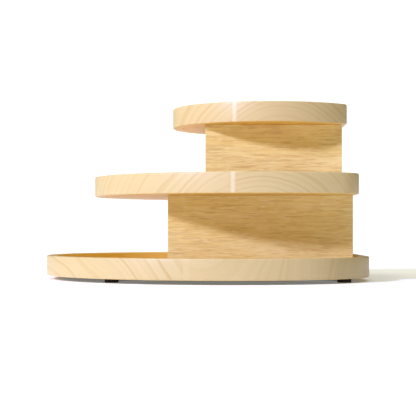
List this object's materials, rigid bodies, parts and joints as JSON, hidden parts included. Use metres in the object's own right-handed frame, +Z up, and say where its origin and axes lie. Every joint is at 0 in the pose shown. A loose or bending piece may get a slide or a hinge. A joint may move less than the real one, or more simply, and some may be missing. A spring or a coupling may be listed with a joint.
{
  "type": "spice carousel",
  "caption": "Tiered wooden spice carousel: rimmed D-shaped trays stacked on box risers, turning on a ball bearing above a footed base cross.",
  "frame": {"origin": "middle of the bounding box's bottom face, on the surface that the feet stand on", "axes": "+Z up along the turning axis's direction, +X towards the flat back of the trays, +Y across the trays"},
  "size_m": [0.312, 0.3558, 0.1677],
  "materials": {
    "rail_wood": "pale birch, clear satin lacquer",
    "key_wood": "paler birch, clear satin lacquer",
    "floor_wood": "pale wood board, clear satin lacquer",
    "panel_wood": "fine-grained oak-like board, clear satin lacquer",
    "dowel_wood": "plain turned beech",
    "zinc_steel": "zinc plated",
    "bearing_steel": "polished hardened steel",
    "race_metal": "turned, satin",
    "nylon": "natural moulded nylon",
    "rubber": "moulded, matt"
  },
  "bodies": {
    "base": {"base_cross": "zinc_steel", "foot_back_left": "rubber", "foot_front_left": "rubber", "foot_front_right": "rubber", "foot_back_right": "rubber", "inner_race": "race_metal", "base_screw_1": "zinc_steel", "base_screw_2": "zinc_steel", "base_screw_3": "zinc_steel", "base_screw_4": "zinc_steel"},
    "cage": {"ball_cage": "nylon", "ball_1": "bearing_steel", "ball_2": "bearing_steel", "ball_3": "bearing_steel", "ball_4": "bearing_steel", "ball_5": "bearing_steel", "ball_6": "bearing_steel", "ball_7": "bearing_steel", "ball_8": "bearing_steel"},
    "carousel": {"outer_race": "race_metal", "race_screw_1": "zinc_steel", "race_screw_2": "zinc_steel", "race_screw_3": "zinc_steel", "race_screw_4": "zinc_steel", "bottom_rail_front": "rail_wood", "bottom_rail_back": "rail_wood", "bottom_key_left": "key_wood", "bottom_key_right": "key_wood", "bottom_floor": "floor_wood", "middle_rail_front": "rail_wood", "middle_rail_back": "rail_wood", "middle_key_left": "key_wood", "middle_key_right": "key_wood", "middle_floor": "floor_wood", "top_rail_front": "rail_wood", "top_rail_back": "rail_wood", "top_key_left": "key_wood", "top_key_right": "key_wood", "top_floor": "floor_wood", "lower_riser_side_left": "panel_wood", "lower_riser_side_right": "panel_wood", "lower_riser_front": "panel_wood", "lower_riser_back": "panel_wood", "upper_riser_side_left": "panel_wood", "upper_riser_side_right": "panel_wood", "upper_riser_front": "panel_wood", "upper_riser_back": "panel_wood", "panel_screw_1": "zinc_steel", "panel_screw_2": "zinc_steel", "panel_screw_3": "zinc_steel", "panel_screw_4": "zinc_steel", "middle_under_dowel_1": "dowel_wood", "middle_under_dowel_2": "dowel_wood", "middle_over_dowel_1": "dowel_wood", "middle_over_dowel_2": "dowel_wood", "top_under_dowel_1": "dowel_wood", "top_under_dowel_2": "dowel_wood"}
  },
  "joints": [
    {"name": "carousel_spin", "type": "hinge", "parent": "base", "child": "carousel", "pos_m": [0.022, 0, 0.00715], "axis": [0, 0, 1], "continuous": true},
    {"name": "cage_spin", "type": "hinge", "parent": "base", "child": "cage", "pos_m": [0.022, 0, 0.00715], "axis": [0, 0, 1], "continuous": true}
  ],
  "couplings": [
    {"joint": "cage_spin", "follows": "carousel_spin", "ratio": 0.5298}
  ]
}
